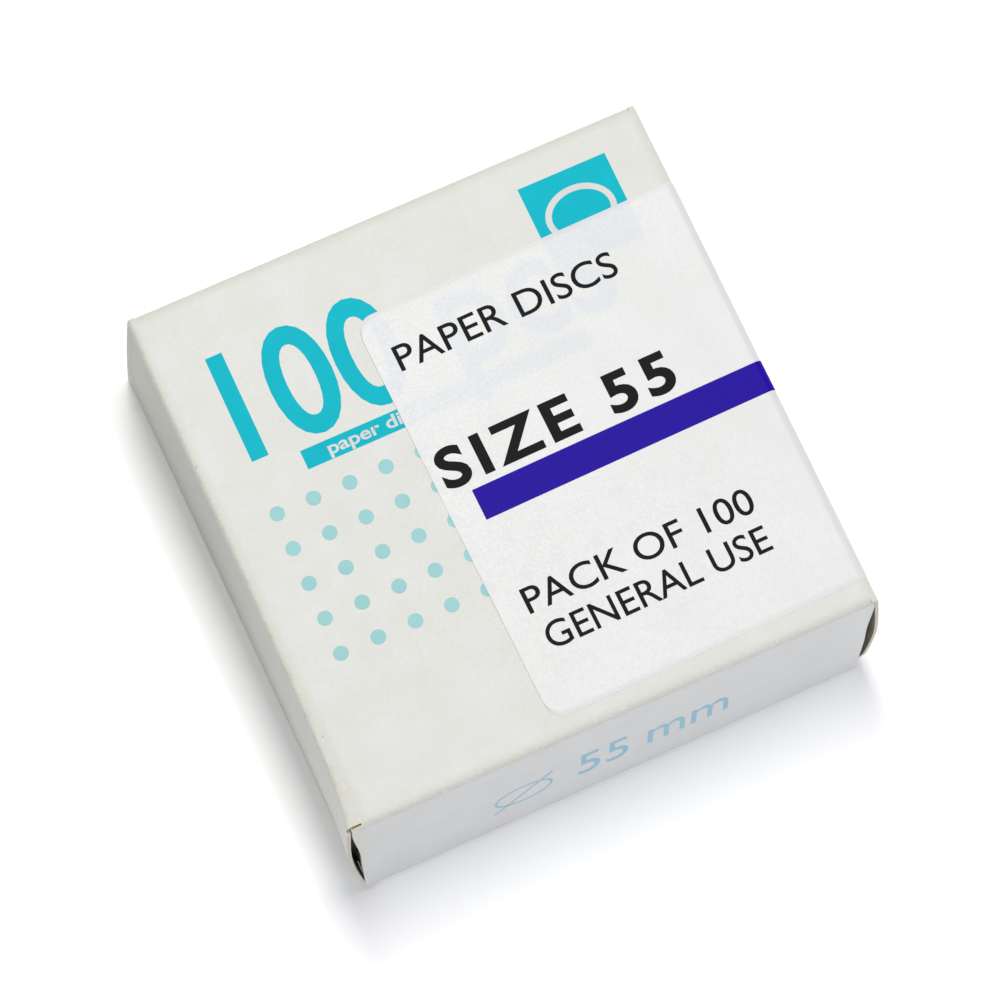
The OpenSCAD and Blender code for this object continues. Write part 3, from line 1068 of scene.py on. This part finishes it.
def label(prints):
    """Label on the top, round the right fold and down the side, with a soft ghost of the print below it."""
    near_edge = spread(0, LABEL_CORNER, 0.15)
    along = [
        LABEL_LEFT + near_edge[:-1],
        spread(LABEL_LEFT + LABEL_CORNER, FLAT_X, 0.24)[:-1],
        spread(FLAT_X, FLAT_X + ARC, 0.1)[:-1],
        spread(FLAT_X + ARC, LABEL_END - LABEL_CORNER, 0.3)[:-1],
        LABEL_END - near_edge[::-1],
    ]
    middle, half = 0.5 * (LABEL_FRONT + LABEL_BACK), 0.5 * (LABEL_BACK - LABEL_FRONT)
    a, share = np.meshgrid(np.concatenate(along), spread(-1, 1, 0.01), indexing="ij")
    b = middle + share * rounded_half(half, LABEL_CORNER, np.minimum(a - LABEL_LEFT, LABEL_END - a))
    pressed = LABEL_PRESSED * (1 - ramp01((1 - np.abs(share)) * half, 0, 0.6))
    outer = np.stack(label_surface(a, b, -pressed), -1)
    piece = board_piece(
        "label_paper",
        [outer],
        "sleeve",
        ["label"],
        thickness=LABEL_T - 2 * INK_GAP - INK,
        materials=[LABEL_PAPER] * 3,
    )
    ghost = ghost_of(prints, *label_turned(a, b)).ravel()
    shade = piece.data.attributes.new("ghost", "FLOAT", "POINT")
    shade.data.foreach_set("value", np.concatenate([ghost, ghost]).astype(np.float32))


def label_print():
    """Print on the label: a bar that runs to its end, and plain words and numbers."""
    bar = bar_shape(-4.1, -5.2, LABEL_END - 0.02, -1.6)
    bends = spread(FLAT_X - 0.1, FLAT_X + ARC + 0.1, 0.08)
    print_piece("label_bar", bar, label_surface, INDIGO, "sleeve", bends=bends)
    lines = (
        ("label_line_1", "PAPER DISCS", -5.1, 20.7, 13.4, 2.9, 0.004, 1.0),
        ("label_line_2", "SIZE 55", -6.4, 21.0, -0.7, 4.6, 0.03, 1.22),
        ("label_line_3", "PACK OF 100", -4.4, 22.3, -16.5, 2.9, 0.004, 1.0),
        ("label_line_4", "GENERAL USE", -4.0, 22.0, -21.0, 2.9, 0.004, 1.0),
    )
    for name, text, left, right, base, height, bold, space in lines:
        shape = text_shape(text, left, right, base, height, bold, space)
        print_piece(name, shape, label_surface, BLACK, "sleeve")


def closure_print():
    """Diameter sign and size on the front closure."""
    sign = joined([ring_shape(-11.4, 9.1, 3.4, 2.4, 0.28), line_shape(-14.8, 5.9, -8.0, 12.3, 0.26)])
    number = text_shape("55", -5.0, 0.9, 6.9, 6.0)
    unit = text_shape("mm", 3.2, 12.7, 7.2, 6.2)
    for name, shape in (("sign", sign), ("number", number), ("unit", unit)):
        print_piece(f"closure_{name}", shape, closure_surface, SOFT_CYAN, "front_closure")


label(top_print())
label_print()
closure_print()


# ---- Paper discs ----

GROUP_SIZE = 10
# A disc's thickness as a share of the distance between one disc and the next
DISC_SHARE = 0.16 / 0.17
# How much smaller the visible discs are, and how far their wave lifts them
DISC_INSET = 0.2
DISC_LIFT = 0.08
# Rings of points on a disc, as shares of its radius
DISC_RINGS = (0.35, 0.7, 0.9, 1.0)
RIM_POINTS = 96


def disc_rim(random, radius):
    """Angles round a disc, its slightly uneven radius at each, and its middle."""
    turns = np.linspace(0, 2 * math.pi, RIM_POINTS, endpoint=False)
    middle = random.normal(0, 0.07, 2)
    rim = radius + 0.02 * np.sin(turns * 7 + random.uniform(0, 6)) + random.normal(0, 0.008, RIM_POINTS)
    return turns, rim, middle


def disc_faces(start):
    """Faces of one closed disc: upper and lower side, each a middle face and rings round it, and the rim."""
    n, levels = RIM_POINTS, len(DISC_RINGS)
    upper, lower = start, start + n * levels
    faces = [[upper + k for k in range(n)], [lower + k for k in reversed(range(n))]]
    for k in range(n):
        k2 = (k + 1) % n
        for r in range(levels - 1):
            a, b = r * n, (r + 1) * n
            faces.append([upper + a + k, upper + b + k, upper + b + k2, upper + a + k2])
            faces.append([lower + a + k, lower + a + k2, lower + b + k2, lower + b + k])
        out = (levels - 1) * n
        faces.append([upper + out + k, lower + out + k, lower + out + k2, upper + out + k2])
    return faces


def discs():
    """Discs of soft paper that all share one gentle wave, with slightly uneven rims."""
    random = np.random.default_rng(55)
    for group in range(10):
        node = f"discs_{group + 1:02d}"
        low, high = node_box(node)
        thickness = (high[2] - low[2]) / (GROUP_SIZE - 1 + DISC_SHARE) * DISC_SHARE
        pitch = (high[2] - low[2] - thickness) / (GROUP_SIZE - 1)
        vertices, faces = [], []
        for i in range(GROUP_SIZE):
            turns, rim, middle = disc_rim(random, 0.5 * (high[0] - low[0]) - DISC_INSET)
            faces += disc_faces(len(vertices))
            for level in (1, 0):
                for ring in DISC_RINGS:
                    x = middle[0] + ring * rim * np.cos(turns)
                    y = middle[1] + ring * rim * np.sin(turns)
                    wave = ring**2 * (0.10 * np.sin(2 * turns + 0.6) + 0.04 * np.sin(5 * turns))
                    z = low[2] + DISC_LIFT + i * pitch + level * thickness * 0.94 + wave
                    vertices += np.stack([x, y, z], 1).tolist()
        mesh = mesh_of(node + "_paper", vertices, faces)
        smooth_by_angle(mesh)
        make_object(node + "_paper", mesh, [DISC_PAPER], "disc_stack", [node])


discs()

# ---- Stage, light and camera ----


def stage():
    """Pale floor, just below the carton's underside, so that the two faces don't lie in one plane."""
    mesh = bpy.data.meshes.new("floor")
    size, low = 3.0, -0.03 * MM
    corners = [(-size, -size, low), (size, -size, low), (size, size, low), (-size, size, low)]
    mesh.from_pydata(corners, [], [(0, 1, 2, 3)])
    floor = add_object("floor", mesh)
    s = Shader("floor_pale", roughness=0.8, specular_ior_level=0.1)
    s.bsdf.inputs["Base Color"].default_value = rgb(0.95, 0.95, 0.95)
    s.bsdf.inputs["Emission Color"].default_value = rgb(0.98, 0.985, 1.0)
    s.bsdf.inputs["Emission Strength"].default_value = 0.205
    mesh.materials.append(s.material)


def area_light(name, direction, distance, size, power, colour=(1, 1, 1)):
    """A softbox that faces the carton from a direction, with its size across and along the carton."""
    light = bpy.data.lights.new(name, "AREA")
    light.shape = "RECTANGLE"
    light.size, light.size_y = size
    light.energy = power
    light.color = colour
    lamp = add_object(name, light)
    away = Vector(direction).normalized()
    across = Vector((0, 1, 0)).cross(away).normalized()
    turned = Matrix((across, away.cross(across), away)).transposed().to_4x4()
    lamp.matrix_world = Matrix.Translation(away * distance) @ turned


def lights():
    world = bpy.data.worlds.new("studio")
    world.use_nodes = True
    background = world.node_tree.nodes["Background"]
    background.inputs["Color"].default_value = (0.97, 0.985, 1.0, 1.0)
    background.inputs["Strength"].default_value = 0.28
    bpy.context.scene.world = world
    area_light("key", (0.10, 0.27, 1.0), 0.9, (0.18, 0.5), 5.35, (1.0, 0.99, 0.965))
    area_light("fill", (0.50, -1.0, 0.42), 1.1, (0.6, 0.6), 3.0, (0.73, 0.75, 1.0))


def camera():
    """A long lens from the front left, high above the carton, with the picture's slight roll."""
    azimuth, elevation, roll = (math.radians(a) for a in (-30.64, 73.31, 6.08))
    target = Vector((-0.27, -1.34, TOP / 2)) * MM
    distance = 0.715
    level = math.cos(elevation)
    back = Vector((math.sin(azimuth) * level, -math.cos(azimuth) * level, math.sin(elevation)))
    turned = back.to_track_quat("Z", "Y").to_matrix() @ Matrix.Rotation(roll, 3, "Z")
    data = bpy.data.cameras.new("camera")
    data.lens = 239.8
    data.sensor_width = 36.0
    data.clip_start = 0.01
    view = add_object("camera", data)
    view.matrix_world = Matrix.Translation(target + back * distance) @ turned.to_4x4()
    bpy.context.scene.camera = view


bpy.context.scene.view_settings.view_transform = "Standard"
stage()
lights()
camera()
